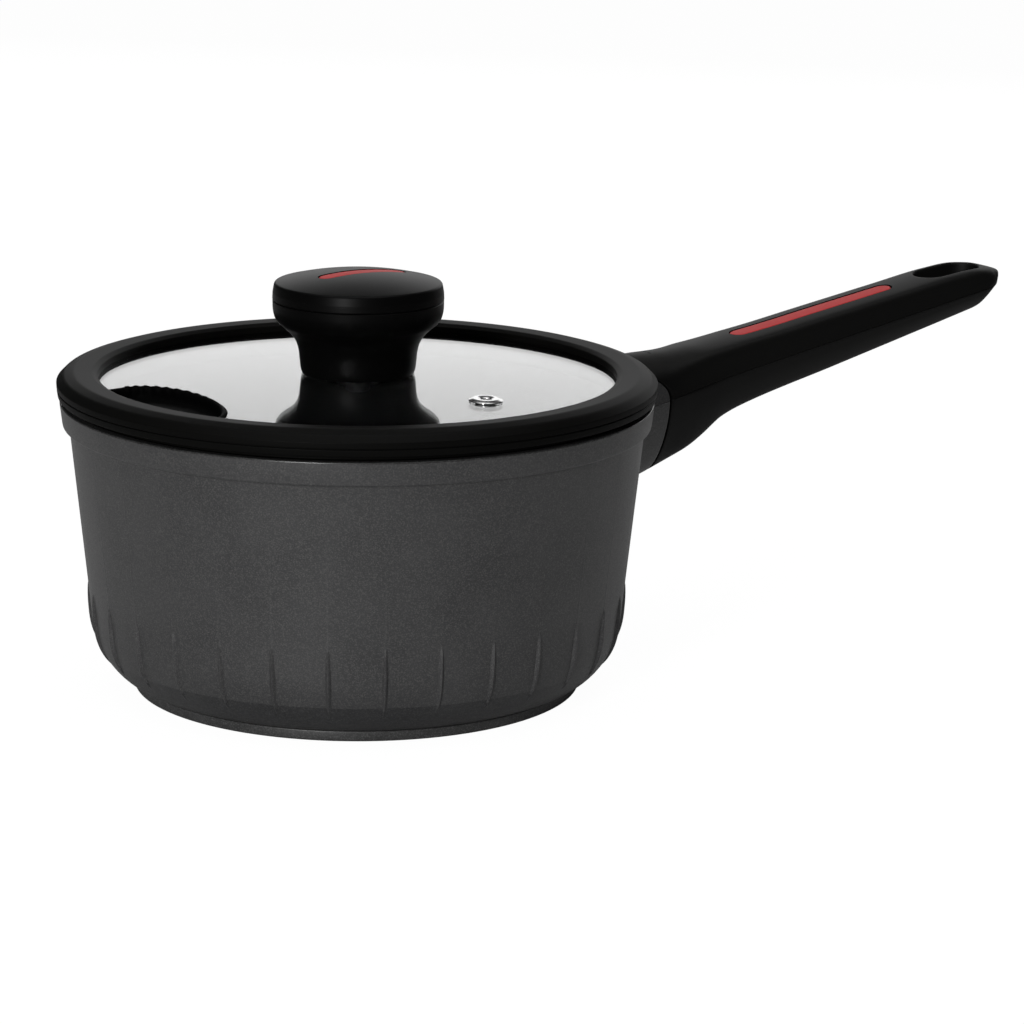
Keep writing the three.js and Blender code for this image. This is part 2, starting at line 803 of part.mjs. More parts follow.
function makeClamp() {
  const under = glassBottom(clamp.gasketRadius) - gap;
  const gasketBottom = under - clamp.plate;
  const washerTop = gasketBottom - gap;
  const washerBottom = washerTop - clamp.plate;
  const headTop = washerBottom - gap;
  const thread = clamp.shank + gap;
  const insertLow = footLow + gap;
  const insertHigh = boreTop - gap;
  const screw = [
    point(0, headTop - clamp.headHeight + 1.2),
    point(1.5, headTop - clamp.headHeight + 1.2),
    point(1.5, headTop - clamp.headHeight),
    point(clamp.headRadius - 0.8, headTop - clamp.headHeight),
    point(clamp.headRadius, headTop - clamp.headHeight + 0.8),
    point(clamp.headRadius, headTop),
    point(clamp.shank, headTop),
    point(clamp.shank, insertHigh - 2),
    point(0, insertHigh - 2),
  ];
  const group = new THREE.Group();
  group.add(washer('lid_gasket', thread, clamp.gasketRadius, gasketBottom, under, silicone()));
  group.add(washer('knob_washer', thread, clamp.washerRadius, washerBottom, washerTop, steel()));
  group.add(washer('knob_insert', thread, knob.boreRadius - gap, insertLow, insertHigh, steel()));
  const gasketHigh = gasketLow + knob.gasketThickness;
  group.add(washer('knob_gasket', clamp.holeRadius, knob.footRadius - 0.8, gasketLow, gasketHigh, silicone()));
  group.add(named('knob_screw', turned(screw, screwSteps), steel()));
  return group;
}

// ---------------------------------------------------------------- assembly

const group = new THREE.Group();
group.add(makePan(), makeDisc(), makeHandle());
group.add(makeGlass(), makeRing(), makeStrainer(), makeVent());
group.add(makeKnobBody(), makeCap(), makeClamp());

export default group;
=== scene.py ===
import math

import bpy
import numpy as np
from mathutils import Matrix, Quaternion, Vector


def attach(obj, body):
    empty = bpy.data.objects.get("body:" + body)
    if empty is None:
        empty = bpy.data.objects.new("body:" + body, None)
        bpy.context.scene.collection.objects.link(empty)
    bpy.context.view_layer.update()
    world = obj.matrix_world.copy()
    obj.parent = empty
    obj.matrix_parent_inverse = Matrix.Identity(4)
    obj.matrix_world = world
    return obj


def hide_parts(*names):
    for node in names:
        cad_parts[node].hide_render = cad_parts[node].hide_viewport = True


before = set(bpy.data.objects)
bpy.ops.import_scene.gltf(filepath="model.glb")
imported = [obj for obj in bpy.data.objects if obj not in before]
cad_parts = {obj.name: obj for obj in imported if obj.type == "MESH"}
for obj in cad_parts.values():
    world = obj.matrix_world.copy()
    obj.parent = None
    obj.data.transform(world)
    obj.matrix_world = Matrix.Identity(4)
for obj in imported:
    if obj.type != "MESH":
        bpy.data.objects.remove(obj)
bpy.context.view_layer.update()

mm = 0.001
collection = bpy.context.scene.collection
print("frame loaded:", len(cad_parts), "nodes")


def filletPath(corners, steps=6):
    # a polyline of (x, z, radius) corners; each corner becomes an arc tangent to both sides
    points = []
    last = len(corners) - 1
    for i, (x, z, radius) in enumerate(corners):
        here = np.array([x, z], float)
        if radius == 0 or i in (0, last):
            points.append(here[None])
            continue
        before = np.array(corners[i - 1][:2], float) - here
        after = np.array(corners[i + 1][:2], float) - here
        lengthBefore, lengthAfter = np.linalg.norm(before), np.linalg.norm(after)
        before, after = before / lengthBefore, after / lengthAfter
        half = math.acos(np.clip(before @ after, -1, 1)) / 2
        back = min(radius / math.tan(half), 0.48 * lengthBefore, 0.48 * lengthAfter)
        # quadratic blend between the two tangent points, close to a circular arc
        t = np.linspace(0, 1, steps + 1)[:, None]
        start, end = here + before * back, here + after * back
        points.append((1 - t) ** 2 * start + 2 * t * (1 - t) * here + t ** 2 * end)
    return np.concatenate(points)


def smoothCurve(pairs, x):
    # monotone cubic through (x, value) pairs: cubic Hermite pieces with limited slopes
    knots, values = np.array(pairs, float).T
    step = np.diff(knots)
    slope = np.diff(values) / step
    before, after = slope[:-1], slope[1:]
    inner = np.where(before * after > 0, 2 * before * after / (before + after + 1e-12), 0)
    tangent = np.concatenate([slope[:1], inner, slope[-1:]])
    at = np.clip(x, knots[0], knots[-1])
    i = np.clip(np.searchsorted(knots, at) - 1, 0, len(step) - 1)
    t = (at - knots[i]) / step[i]
    a = (1 + 2 * t) * (1 - t) ** 2 * values[i] + t * (1 - t) ** 2 * step[i] * tangent[i]
    b = t ** 2 * (3 - 2 * t) * values[i + 1] - t ** 2 * (1 - t) * step[i] * tangent[i + 1]
    return a + b


def smoothStep(low, high, x):
    # 0 below low, 1 above high, and 3 t squared less 2 t cubed between
    t = np.clip((x - low) / (high - low), 0, 1)
    return t * t * (3 - 2 * t)


def gridFaces(rows, columns, loopRows, loopColumns):
    # each quad joins a point, its neighbour in the row and the two beside them in the next row
    r = np.arange(rows if loopRows else rows - 1)
    c = np.arange(columns if loopColumns else columns - 1)
    r, c = np.meshgrid(r, c, indexing="ij")
    rNext, cNext = (r + 1) % rows, (c + 1) % columns
    corner = [r * columns + c, r * columns + cNext, rNext * columns + cNext, rNext * columns + c]
    return np.stack(corner, -1).reshape(-1, 4)


def surface(name, grids, body, replaced=(), sharp=35, material=None):
    # grids is a list of (points in mm [rows, columns, 3], loopRows, loopColumns)
    everyPoint, everyFace, start = [], [], 0
    for points, loopRows, loopColumns in grids:
        rows, columns = points.shape[:2]
        flat = points.reshape(-1, 3) * mm
        faces = gridFaces(rows, columns, loopRows, loopColumns)
        # equal points become one, so poles and seams are closed
        key = np.round(flat / 1e-7).astype(np.int64)
        _, first, same = np.unique(key, axis=0, return_index=True, return_inverse=True)
        faces = same.reshape(-1)[faces]
        flat = flat[first]
        a, b, c, d = (flat[faces[:, k]] for k in range(4))
        volume = (np.cross(b - a, c - a) * a).sum() + (np.cross(c - a, d - a) * a).sum()
        if volume < 0:
            faces = faces[:, ::-1]
        everyPoint.append(flat)
        everyFace.append(faces + start)
        start += len(flat)
    points, faces = np.concatenate(everyPoint), np.concatenate(everyFace)
    twin = faces == np.roll(faces, -1, axis=1)
    quads = faces[~twin.any(1)]
    lists = [quads.tolist()]
    for k in range(4):
        rows = faces[twin[:, k] & (twin.sum(1) == 1)]
        lists.append(np.delete(rows, k, axis=1).tolist())
    mesh = bpy.data.meshes.new(name)
    mesh.from_pydata(points.tolist(), [], [f for group in lists for f in group])
    mesh.validate()
    mesh.polygons.foreach_set("use_smooth", [True] * len(mesh.polygons))
    mesh.set_sharp_from_angle(angle=math.radians(sharp))
    piece = bpy.data.objects.new(name, mesh)
    collection.objects.link(piece)
    if material is not None:
        mesh.materials.append(material)
    if body:
        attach(piece, body)
    if replaced:
        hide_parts(*replaced)
    return piece


def turned(profile, columns=192):
    # lathe: (radius, height) carried round the Z axis
    angle = np.linspace(0, 2 * math.pi, columns, endpoint=False)
    r, z = profile[:, 0][:, None], profile[:, 1][:, None]
    return np.stack([r * np.cos(angle), r * np.sin(angle), z + 0 * angle], -1)


def densify(path, longest):
    # extra points on long straight runs of a profile
    parts = []
    for a, b in zip(path[:-1], path[1:]):
        count = max(1, int(math.ceil(np.linalg.norm(b - a) / longest)))
        parts.append(a + (b - a) * np.arange(count)[:, None] / count)
    return np.concatenate(parts + [path[-1:]])


def cutAway(piece, cutter):
    # boolean cut, applied at once, with the cutter thrown away
    trim = piece.modifiers.new("trim", "BOOLEAN")
    trim.operation = "DIFFERENCE"
    trim.solver = "EXACT"
    trim.object = cutter
    bpy.context.view_layer.update()
    graph = bpy.context.evaluated_depsgraph_get()
    cut = bpy.data.meshes.new_from_object(piece.evaluated_get(graph))
    piece.modifiers.clear()
    old = piece.data
    piece.data = cut
    cut.name = old.name
    bpy.data.meshes.remove(old)
    bpy.data.objects.remove(cutter)
    cut.set_sharp_from_angle(angle=math.radians(35))


def addNode(tree, kind, x=0, y=0, **settings):
    node = tree.nodes.new(kind)
    node.location = (x, y)
    for key, value in settings.items():
        setattr(node, key, value)
    return node


def mathNode(tree, operation, a, b=0.5, clamp=False):
    node = addNode(tree, "ShaderNodeMath", operation=operation, use_clamp=clamp)
    for socket, value in zip(node.inputs, (a, b)):
        if isinstance(value, (int, float)):
            socket.default_value = value
        else:
            tree.links.new(value, socket)
    return node.outputs[0]


def makeGroup(name, inputs, outputs):
    tree = bpy.data.node_groups.new(name, "ShaderNodeTree")
    for label, kind, value in inputs:
        socket = tree.interface.new_socket(name=label, in_out="INPUT", socket_type=kind)
        if value is not None:
            socket.default_value = value
    for label, kind in outputs:
        tree.interface.new_socket(name=label, in_out="OUTPUT", socket_type=kind)
    return tree, addNode(tree, "NodeGroupInput"), addNode(tree, "NodeGroupOutput")


def makeGrainGroup():
    # moulded grain: fine noise for the height, and slow noise for the tone
    tree, inside, out = makeGroup(
        "mouldedGrain",
        [
            ("Vector", "NodeSocketVector", None), ("Scale", "NodeSocketFloat", 2500.0),
            ("Blotch", "NodeSocketFloat", 60.0),
        ],
        [("Height", "NodeSocketFloat"), ("Tone", "NodeSocketFloat")],
    )
    fine = addNode(tree, "ShaderNodeTexNoise", noise_dimensions="3D")
    fine.inputs["Detail"].default_value = 3
    fine.inputs["Roughness"].default_value = 0.6
    tree.links.new(inside.outputs["Vector"], fine.inputs["Vector"])
    tree.links.new(inside.outputs["Scale"], fine.inputs["Scale"])
    slow = addNode(tree, "ShaderNodeTexNoise", noise_dimensions="3D")
    slow.inputs["Detail"].default_value = 4
    tree.links.new(inside.outputs["Vector"], slow.inputs["Vector"])
    tree.links.new(inside.outputs["Blotch"], slow.inputs["Scale"])
    tone = mathNode(tree, "MULTIPLY", fine.outputs["Fac"], slow.outputs["Fac"])
    tree.links.new(fine.outputs["Fac"], out.inputs["Height"])
    tree.links.new(mathNode(tree, "MULTIPLY_ADD", tone, 2.0), out.inputs["Tone"])
    return tree


def makeSpeckleGroup():
    # sprayed coating: cells of about half a millimetre, each light or dark, over a cloudy ground
    tree, inside, out = makeGroup(
        "sprayedSpeckle",
        [("Vector", "NodeSocketVector", None), ("Scale", "NodeSocketFloat", 1500.0)],
        [("Height", "NodeSocketFloat"), ("Fleck", "NodeSocketFloat"), ("Cloud", "NodeSocketFloat")],
    )
    cells = addNode(tree, "ShaderNodeTexVoronoi", feature="F1")
    tree.links.new(inside.outputs["Vector"], cells.inputs["Vector"])
    tree.links.new(inside.outputs["Scale"], cells.inputs["Scale"])
    split = addNode(tree, "ShaderNodeSeparateColor")
    tree.links.new(cells.outputs["Color"], split.inputs[0])
    fleck = mathNode(tree, "POWER", split.outputs[0], 3.0)
    dust = addNode(tree, "ShaderNodeTexNoise")
    dust.inputs["Detail"].default_value = 2
    tree.links.new(inside.outputs["Vector"], dust.inputs["Vector"])
    tree.links.new(mathNode(tree, "MULTIPLY", inside.outputs["Scale"], 0.9), dust.inputs["Scale"])
    cloud = addNode(tree, "ShaderNodeTexNoise")
    cloud.inputs["Detail"].default_value = 5
    cloud.inputs["Scale"].default_value = 45
    tree.links.new(inside.outputs["Vector"], cloud.inputs["Vector"])
    tree.links.new(dust.outputs["Fac"], out.inputs["Height"])
    tree.links.new(fleck, out.inputs["Fleck"])
    tree.links.new(cloud.outputs["Fac"], out.inputs["Cloud"])
    return tree


grainGroup = makeGrainGroup()
speckleGroup = makeSpeckleGroup()


def startMaterial(name, roughness=0.5, metallic=0.0, specular=0.5):
    material = bpy.data.materials.new(name)
    material.use_nodes = True
    tree = material.node_tree
    tree.nodes.clear()
    shader = addNode(tree, "ShaderNodeBsdfPrincipled")
    out = addNode(tree, "ShaderNodeOutputMaterial", 300)
    tree.links.new(shader.outputs[0], out.inputs["Surface"])
    shader.inputs["Roughness"].default_value = roughness
    shader.inputs["Metallic"].default_value = metallic
    shader.inputs["Specular IOR Level"].default_value = specular
    place = addNode(tree, "ShaderNodeTexCoord", -900)
    return material, tree, shader, place.outputs["Object"]


def placeGroup(tree, group, vector, **values):
    node = addNode(tree, "ShaderNodeGroup", -600)
    node.node_tree = group
    tree.links.new(vector, node.inputs["Vector"])
    for key, value in values.items():
        node.inputs[key].default_value = value
    return node


def mixColour(tree, mask, dark, light):
    node = addNode(tree, "ShaderNodeMix", -300, data_type="RGBA")
    tree.links.new(mask, node.inputs[0])
    for index, value in ((6, dark), (7, light)):
        if isinstance(value, (tuple, list)):
            node.inputs[index].default_value = (*value, 1)
        else:
            tree.links.new(value, node.inputs[index])
    return node.outputs[2]


def remap(tree, value, low, high, toLow, toHigh):
    node = addNode(tree, "ShaderNodeMapRange", -300)
    for index, number in enumerate((low, high, toLow, toHigh), start=1):
        node.inputs[index].default_value = number
    tree.links.new(value, node.inputs[0])
    return node.outputs[0]


def addBump(tree, shader, height, strength, distance):
    bump = addNode(tree, "ShaderNodeBump", -200)
    bump.inputs["Strength"].default_value = strength
    bump.inputs["Distance"].default_value = distance
    tree.links.new(height, bump.inputs["Height"])
    tree.links.new(bump.outputs[0], shader.inputs["Normal"])


def coatingMaterial(name, dark, light, fleckColour, roughness):
    material, tree, shader, vector = startMaterial(name, roughness, 0.0, 0.45)
    spray = placeGroup(tree, speckleGroup, vector, Scale=3000.0)
    ground = mixColour(tree, remap(tree, spray.outputs["Cloud"], 0.35, 0.65, 0, 1), dark, light)
    colour = mixColour(tree, spray.outputs["Fleck"], ground, fleckColour)
    tree.links.new(colour, shader.inputs["Base Color"])
    uneven = remap(tree, spray.outputs["Height"], 0.3, 0.7, roughness - 0.08, roughness + 0.08)
    tree.links.new(uneven, shader.inputs["Roughness"])
    addBump(tree, shader, spray.outputs["Height"], 0.25, 0.00004)
    return material


def plasticMaterial(name, dark, light, roughness, specular, scale=2600.0, bump=0.2, deep=0.00006):
    material, tree, shader, vector = startMaterial(name, roughness, 0.0, specular)
    grain = placeGroup(tree, grainGroup, vector, Scale=scale, Blotch=70.0)
    colour = mixColour(tree, remap(tree, grain.outputs["Tone"], 0.35, 0.7, 0, 1), dark, light)
    uneven = remap(tree, grain.outputs["Tone"], 0.3, 0.8, roughness - 0.06, roughness + 0.08)
    tree.links.new(colour, shader.inputs["Base Color"])
    tree.links.new(uneven, shader.inputs["Roughness"])
    addBump(tree, shader, grain.outputs["Height"], bump, deep)
    return material


def steelMaterial(name, colour, roughness, rings=None):
    material, tree, shader, vector = startMaterial(name, roughness, 1.0)
    grain = placeGroup(tree, grainGroup, vector, Scale=900.0, Blotch=120.0)
    lighter = tuple(min(1, c * 1.15) for c in colour)
    tree.links.new(mixColour(tree, grain.outputs["Tone"], colour, lighter), shader.inputs["Base Color"])
    uneven = remap(tree, grain.outputs["Tone"], 0.2, 0.9, roughness * 0.8, roughness * 1.25)
    tree.links.new(uneven, shader.inputs["Roughness"])
    if rings:
        # turning marks: a wave of the distance from the axis
        wave = addNode(tree, "ShaderNodeTexWave", -500, wave_type="RINGS", rings_direction="Z")
        wave.inputs["Scale"].default_value = rings
        wave.inputs["Distortion"].default_value = 0.4
        tree.links.new(vector, wave.inputs["Vector"])
        addBump(tree, shader, wave.outputs["Fac"], 0.3, 0.00005)
    else:
        addBump(tree, shader, grain.outputs["Height"], 0.08, 0.00003)
    return material


def glassMaterial(name):
    material, tree, shader, vector = startMaterial(name, 0.0, 0.0, 0.5)
    shader.inputs["Transmission Weight"].default_value = 1
    shader.inputs["IOR"].default_value = 1.52
    grain = placeGroup(tree, grainGroup, vector, Scale=180.0, Blotch=25.0)
    colour = mixColour(tree, grain.outputs["Tone"], (0.9, 0.93, 0.92), (0.97, 0.98, 0.98))
    tree.links.new(colour, shader.inputs["Base Color"])
    tree.links.new(remap(tree, grain.outputs["Tone"], 0.45, 0.95, 0.0, 0.03), shader.inputs["Roughness"])
    return material


# dark and light ground colours, the colour of the flecks, and the mean roughness
coat = coatingMaterial(
    "graphiteCoat", (0.024, 0.024, 0.025), (0.032, 0.032, 0.033), (0.064, 0.063, 0.062), 0.44,
)
innerCoat = coatingMaterial("innerCoat", (0.01, 0.01, 0.011), (0.016, 0.016, 0.017), (0.04, 0.04, 0.04), 0.4)
# painted shade: a darker copy of the coat for the rim's land, standing in for the shade in the gap under the
# lid ring
shadedRimCoat = coatingMaterial("shadedRimCoat", (0.012, 0.012, 0.012), (0.02, 0.02, 0.02), (0.05, 0.05, 0.05), 0.3)
# painted shade: a copy of the coat for the foot, its tones set to stand in for the shade close to the floor
shadedFootCoat = coatingMaterial("shadedFootCoat", (0.022, 0.022, 0.022), (0.034, 0.034, 0.034), (0.08, 0.08, 0.08), 0.42)
# dark and light tones, mean roughness and specular level, then the grain's scale and bump
gripPlastic = plasticMaterial("softGrip", (0.0012, 0.0012, 0.0011), (0.0024, 0.0024, 0.0022), 0.45, 0.13)
knobPlastic = plasticMaterial("softKnob", (0.0008, 0.0008, 0.0008), (0.0016, 0.0016, 0.0016), 0.31, 0.055)
ringSilicone = plasticMaterial(
    "matSilicone", (0.001, 0.001, 0.0009), (0.0024, 0.0024, 0.0022), 0.4, 0.036, 1800.0, 0.15,
)
# painted shade: a darker copy of the lid's silicone for the pour guard, standing in for the shade in its sunk
# recess
shadedGuardSilicone = plasticMaterial(
    "shadedStrainerSilicone", (0.0006, 0.0006, 0.0006), (0.0012, 0.0012, 0.0012), 0.5, 0.02, 1800.0, 0.1,
)
redStrip = plasticMaterial("redStrip", (0.36, 0.018, 0.018), (0.43, 0.024, 0.024), 0.45, 0.14, 1500.0, 0.1)
polished = steelMaterial("polishedSteel", (0.62, 0.62, 0.62), 0.16)
zinc = steelMaterial("zincSteel", (0.5, 0.5, 0.51), 0.3)
turnedSteel = steelMaterial("turnedBase", (0.5, 0.5, 0.5), 0.32, rings=260.0)
clearGlass = glassMaterial("temperedGlass")
print("materials ready")


pan = dict(
    height=106.0, rim=108.0, bandEdge=106.9, bandLow=97.3, wallTop=104.6, draft=0.105,
    cornerTop=26.0, wall=3.4, foot=82.0, footHigh=4.6, floor=6.5, innerCorner=26.0,
    disc=75.0, discThick=2.5, mouth=102.6,
)
rib = dict(count=31, phase=1.9, halfWidth=1.0, proud=1.15, top=38.2, low=12.0)


def cornerPath():
    # cubic Bezier from the wall in to the foot
    radius = pan["wallTop"] - (pan["bandLow"] - pan["cornerTop"]) * pan["draft"]
    fall = pan["cornerTop"] * 0.56
    start = np.array([radius, pan["cornerTop"]])
    end = np.array([pan["foot"] - 1, pan["footHigh"] - 0.6])
    down = start + [-fall * pan["draft"], -fall]
    across = end + [5.5, 0.4]
    t = np.linspace(1, 0, 30)[:, None]
    fromWall = (1 - t) ** 3 * start + 3 * t * (1 - t) ** 2 * down
    return fromWall + 3 * t ** 2 * (1 - t) * across + t ** 3 * end


def panProfile():
    # the wall's section, walked from under the foot up the outside, over the rim and down inside
    foot, gap = pan["foot"], 0.3
    recess = filletPath([
        (0, pan["discThick"] + gap, 0), (pan["disc"] + gap, pan["discThick"] + gap, 0.4),
        (pan["disc"] + gap, 0, 0.4),
        (foot, 0, 0.9), (foot, pan["footHigh"] - 0.9, 0.4), (foot - 0.9, pan["footHigh"] - 0.6, 0),
    ], 4)
    corner = cornerPath()
    wallLow = pan["wallTop"] - (pan["bandLow"] - pan["cornerTop"]) * pan["draft"]
    ribEnd = wallLow + (rib["top"] - pan["cornerTop"]) * pan["draft"]
    z = np.linspace(pan["cornerTop"], rib["top"], 16)[1:]
    straight = np.stack([wallLow + (z - pan["cornerTop"]) * pan["draft"], z], -1)
    upper = filletPath([
        (ribEnd, rib["top"], 0), (pan["wallTop"], pan["bandLow"], 0.7),
        (pan["bandEdge"], pan["bandLow"], 0.9),
        (pan["rim"], pan["height"], 0.6), (104.9, pan["height"], 0.7), (101.9, pan["height"] - 1.5, 1.2),
    ], 5)[1:]
    inWall = pan["wallTop"] - pan["wall"]
    low = pan["floor"] + pan["innerCorner"]
    lowRadius = inWall - (pan["bandLow"] - low) * pan["draft"]
    angle = np.radians(np.linspace(0, -90, 14))[:, None]
    bend = pan["innerCorner"]
    bowl = np.concatenate([lowRadius - bend + bend * np.cos(angle), low + bend * np.sin(angle)], 1)
    inside = np.concatenate([bowl, [[0, pan["floor"]]]])
    return np.concatenate([recess, corner, straight, densify(upper, 12), densify(inside, 18)])


def makePanShell():
    # radius and height of the profile, pushed out along its normal by a slim ridge at each rib
    profile = panProfile()
    pitch = 2 * math.pi / rib["count"]
    near = np.array([-1.6, -1.3, -1.05, -0.8, -0.55, -0.28, 0, 0.28, 0.55, 0.8, 1.05, 1.3, 1.6]) / 96
    between = np.linspace(1.6 / 96, pitch - 1.6 / 96, 5)[1:-1]
    offsets = np.concatenate([near, between])
    azimuth = (np.radians(rib["phase"]) + np.arange(rib["count"])[:, None] * pitch + offsets).reshape(-1)
    across = np.tile(np.concatenate([near * 96, between * 0 + 9]), rib["count"])
    r, z = profile.T
    along = np.gradient(profile, axis=0)
    normal = np.stack([along[:, 1], -along[:, 0]], -1)
    normal /= np.linalg.norm(normal, axis=1)[:, None] + 1e-9
    middle, half = (rib["top"] + rib["low"]) / 2, (rib["top"] - rib["low"]) / 2
    u = (z - middle) / half
    outside = (np.abs(u) < 1) & (r > 80) & (np.arange(len(r)) < len(r) - 22)
    swell = np.where(outside, np.clip(1 - np.abs(u) ** 2.2, 0, 1) ** 0.75, 0)
    reach = rib["halfWidth"] * (0.25 + 0.75 * swell)
    ridge = np.clip(1 - np.abs(across[None] / reach[:, None]) ** 1.5, 0, 1)
    rise = rib["proud"] * swell[:, None] * ridge
    radius = r[:, None] + rise * normal[:, :1]
    height = z[:, None] + rise * normal[:, 1:]
    grid = np.stack([radius * np.cos(azimuth), radius * np.sin(azimuth), height], -1)
    shell = surface("pan_shell", [(grid, False, True)], "pan", ["pan_body"], 38, coat)
    # the inside has a coat of its own, and the rim's land a darker copy of the coat, painted shade for the
    # gap under the lid ring
    mesh = shell.data
    mesh.materials.append(innerCoat)
    mesh.materials.append(shadedRimCoat)
    mesh.materials.append(shadedFootCoat)
    centre = np.zeros(len(mesh.polygons) * 3)
    mesh.polygons.foreach_get("center", centre)
    centre = centre.reshape(-1, 3) / mm
    radial = np.hypot(centre[:, 0], centre[:, 1])
    height = centre[:, 2]
    wallMiddle = pan["wallTop"] - pan["wall"] * 0.5 - (pan["bandLow"] - height) * pan["draft"]
    index = np.zeros(len(mesh.polygons), int)
    index[(radial < pan["mouth"]) & (height > pan["floor"] - 0.5) & (radial < wallMiddle)] = 1
    # the rim's land takes the darker copy of the coat as painted shade
    index[(height > pan["height"] - 0.75) & (radial > pan["mouth"] + 0.4)] = 2
    # the foot ring takes the copy of the coat toned as painted shade
    index[(height < pan["footHigh"] - 0.7) & (radial > pan["foot"] - 1)] = 3
    mesh.polygons.foreach_set("material_index", index)
    return shell


def makeBaseDisc():
    # lathe of the disc's section, with a shallow dimple round the axis
    radius, thick = pan["disc"], pan["discThick"]
    profile = filletPath([
        (0, 0.35, 0), (9, 0.35, 0.2), (9.6, 0, 0.2),
        (radius - 0.2, 0, 0.5), (radius, thick, 0.2), (0, thick, 0),
    ], 4)
    grid = turned(densify(profile, 8), 160)
    return surface("base_plate", [(grid, False, True)], "pan", ["base_disc"], 30, turnedSteel)


makePanShell()
makeBaseDisc()
print("pan ready")


handle = dict(
    lugEnd=126.0, length=166.5, halfWidth=13.9, partStart=95.1, partRise=31.3,
    topEdge=0.885, seam=0.3, tongue=12.5,
)
tipX = handle["lugEnd"] + handle["length"]
# heights above the rim, and half widths beyond the grip's own, by share of the handle's length
topPairs = [
    (-0.168, -1.4), (-0.12, -0.5), (-0.1, 0.4), (-0.084, 2.8), (-0.06, 4.4), (-0.02, 4.9), (0, 4.95),
    (0.042, 5.0), (0.078, 5.3), (0.11, 5.75), (0.144, 6.2), (0.203, 7.35), (0.24, 8.2), (0.325, 10.3),
    (0.444, 13.7), (0.685, 20.5), (0.84, 24.8), (0.918, 26.0), (0.955, 25.7), (0.98, 24.8), (0.99, 24.3),
    (1, 23.7),
]
underPairs = [
    (-0.168, -50.1), (-0.084, -45.9), (0, -41.4), (0.05, -37.9), (0.084, -35.1), (0.132, -29.9),
    (0.186, -23.5), (0.253, -19.3), (0.504, -8.6), (0.817, 4.8), (0.89, 8.0), (0.908, 8.8), (0.924, 10.0),
    (0.937, 12.2), (0.952, 16.0), (0.967, 19.6), (0.978, 21.6), (0.99, 22.7), (1, 23.1),
]
flarePairs = [
    (-0.168, 7.3), (-0.084, 5.3), (0, 3.8), (0.04, 2.8), (0.084, 1.6), (0.15, 0.6), (0.25, 0), (1, 0),
]
# drop of the arched top from its middle to its soft edges
crownPairs = [
    (-0.168, 7.0), (0, 6.4), (0.042, 4.9), (0.072, 3.8), (0.138, 1.9), (0.184, 1.5), (0.25, 1.1),
    (1, 0.9),
]
underPower = [(-0.168, 1.65), (0, 1.65), (0.2, 2.4), (1, 2.4)]
nosePower = 3.2
# points along each of the eight stretches of the outline, and their angles at its corners
stretch = np.array([40, 30, 44, 26, 26, 44, 30, 40])
cornerAngle = np.radians([90, 52, 0, -52, -90, -128, -180, -232, -270])


def handleHeights(x):
    # top, underside and parting line above the floor, and half width, read off the curves at x
    share = (x - handle["lugEnd"]) / handle["length"]
    top = pan["height"] + smoothCurve(topPairs, share)
    under = pan["height"] + smoothCurve(underPairs, share)
    part = handle["partStart"] + handle["partRise"] * share
    wide = handle["halfWidth"] + smoothCurve(flarePairs, share)
    return top, under, np.clip(part, under + 0.3, top - 0.3), wide


def outlineAngles():
    # even steps of angle between each pair of corners
    parts = []
    for i, count in enumerate(stretch):
        parts.append(cornerAngle[i] + (cornerAngle[i + 1] - cornerAngle[i]) * np.arange(count) / count)
    return np.concatenate(parts)


